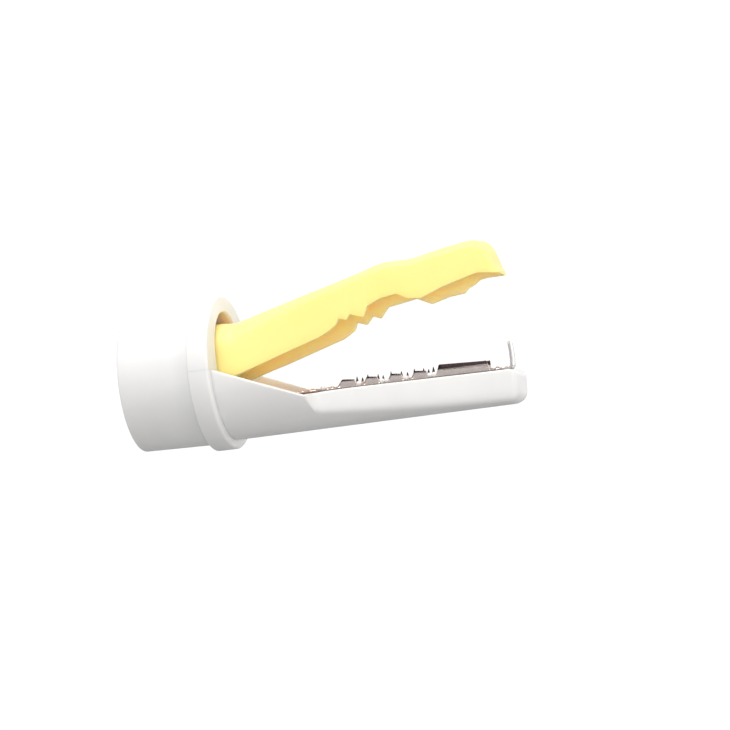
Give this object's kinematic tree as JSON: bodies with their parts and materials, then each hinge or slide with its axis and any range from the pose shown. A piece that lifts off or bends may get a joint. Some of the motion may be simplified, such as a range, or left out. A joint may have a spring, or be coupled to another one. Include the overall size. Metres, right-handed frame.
{
  "type": "wire twisting jaw head",
  "caption": "Round jaw head of a hand wire twister: a fixed trough jaw with a toothed metal strip and a sprung hollow upper jaw on a collared housing.",
  "frame": {"origin": "centre of the handle socket's mouth, at the rear rim", "axes": "+X along the tool from the socket to the jaw tip, +Z the way the upper jaw opens, Y across the jaws"},
  "size_m": [0.0693, 0.027, 0.0309],
  "materials": {
    "white_plastic": "satin moulded white",
    "yellow_plastic": "satin moulded yellow",
    "bright_steel": "bright plated spring steel sheet",
    "steel": "plain steel",
    "bush_plastic": "dark bearing plastic",
    "pad_rubber": "soft black rubber"
  },
  "bodies": {
    "housing": {"body_tube": "white_plastic", "jaw_body": "white_plastic", "collar_cap": "white_plastic", "rear_bulkhead": "white_plastic", "drive_plate": "steel", "housing_screws": "steel", "pivot_pin": "steel", "spring_sleeve": "bush_plastic", "torsion_spring": "steel", "stop_pad": "pad_rubber", "blade_strip": "bright_steel", "strip_rivets": "steel"},
    "lever": {"upper_jaw": "yellow_plastic", "lever_bush_left": "bush_plastic", "lever_bush_right": "bush_plastic"}
  },
  "joints": [
    {"name": "upper_jaw_pivot", "type": "hinge", "parent": "housing", "child": "lever", "pos_m": [0.009, 0, 0.0002], "axis": [0, 1, 0], "range_deg": [0, 13], "stiffness_Nm_per_rad": 0.02, "springref_deg": -28.65, "deforming": ["torsion_spring"]}
  ]
}
